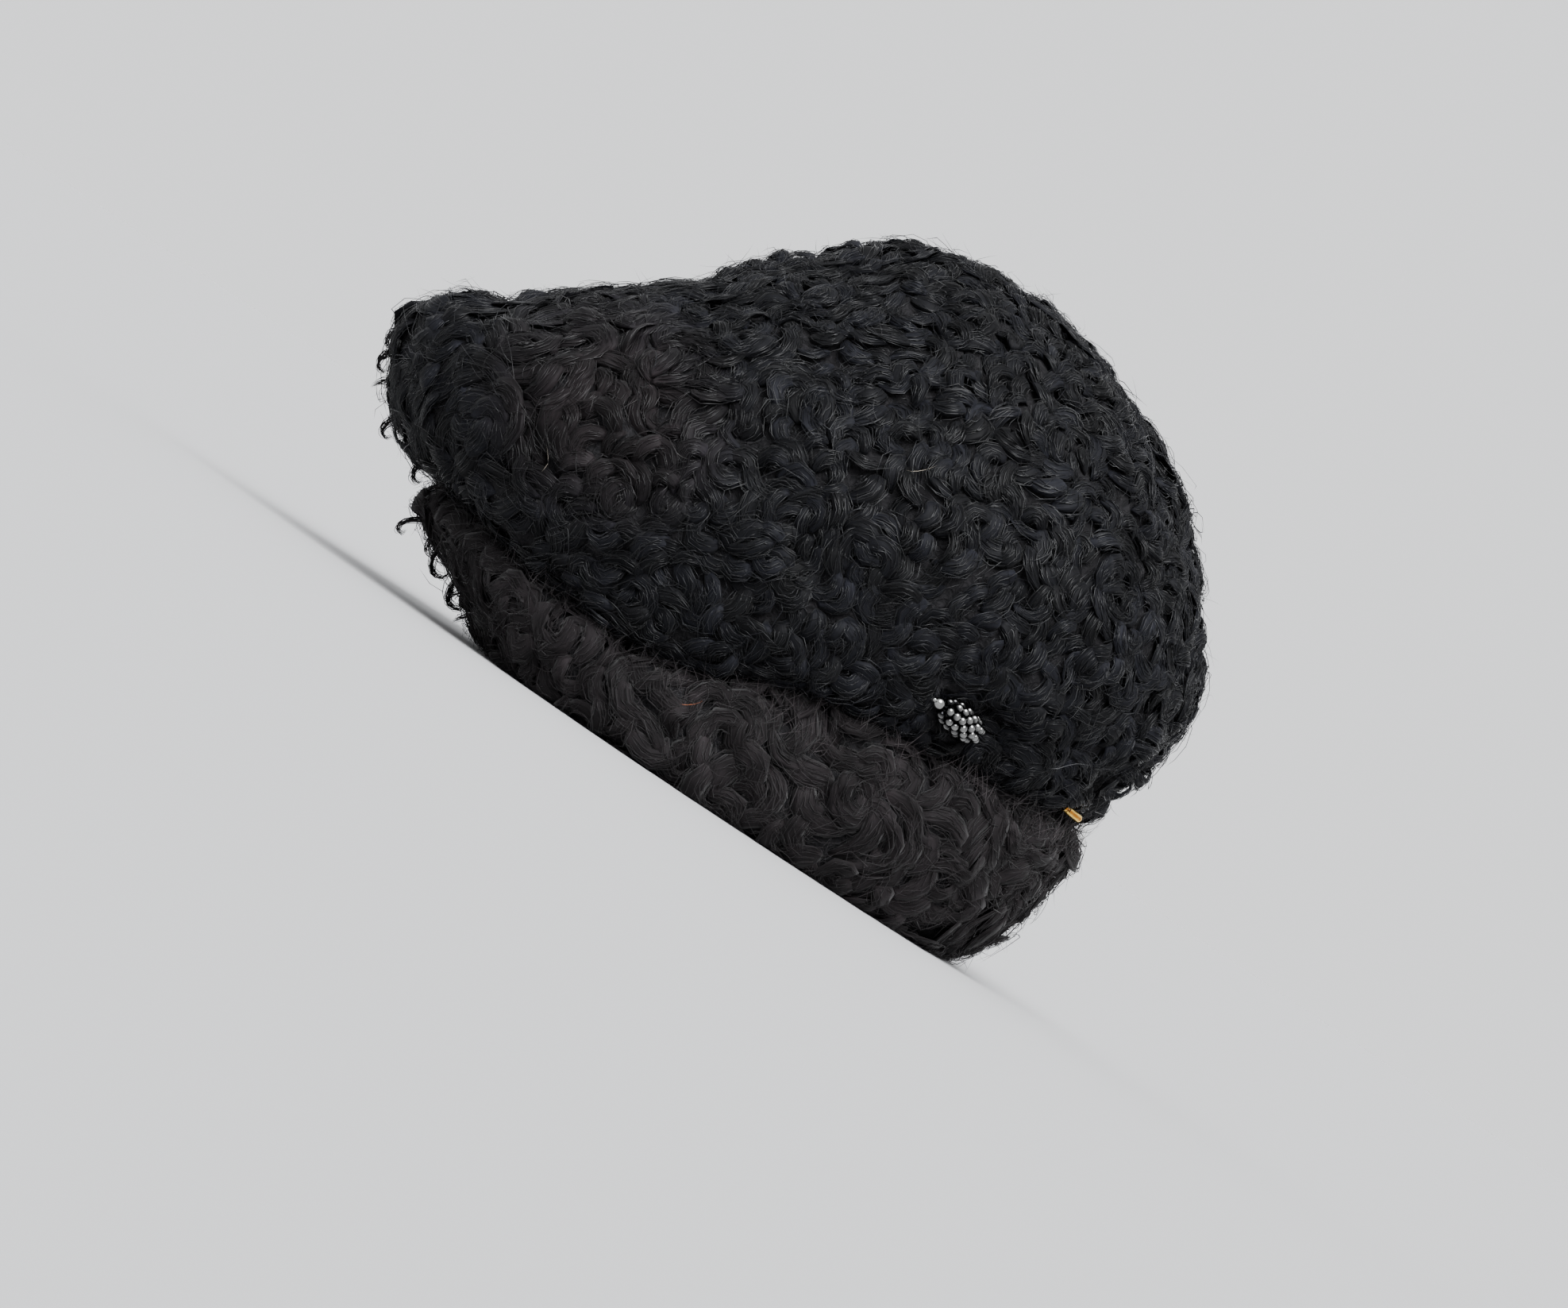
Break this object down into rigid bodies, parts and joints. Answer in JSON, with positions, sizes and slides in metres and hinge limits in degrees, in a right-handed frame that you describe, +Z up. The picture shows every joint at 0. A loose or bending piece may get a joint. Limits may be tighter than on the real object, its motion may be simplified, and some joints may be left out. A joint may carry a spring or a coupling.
{
  "type": "karakul hat",
  "caption": "Soft black karakul fur hat with a full crown drawn forward over the brow, a turned-up cuff that deepens at the nape, and a beaded silver hat pin.",
  "frame": {"origin": "centre of the bounding box's bottom face, on the surface the hat rests on", "axes": "+Z up, +Y from the front of the hat to its back, +X to the wearer's left, where the pin is"},
  "size_m": [0.222, 0.2975, 0.203],
  "materials": {
    "karakul_black": "matte",
    "karakul_worn": "matte",
    "silver_metal": "polished",
    "gilt_metal": "polished"
  },
  "bodies": {
    "root": {"crown": "karakul_black", "cuff": "karakul_worn", "hat_pin": "silver_metal", "pin_clutch": "gilt_metal"}
  },
  "joints": []
}
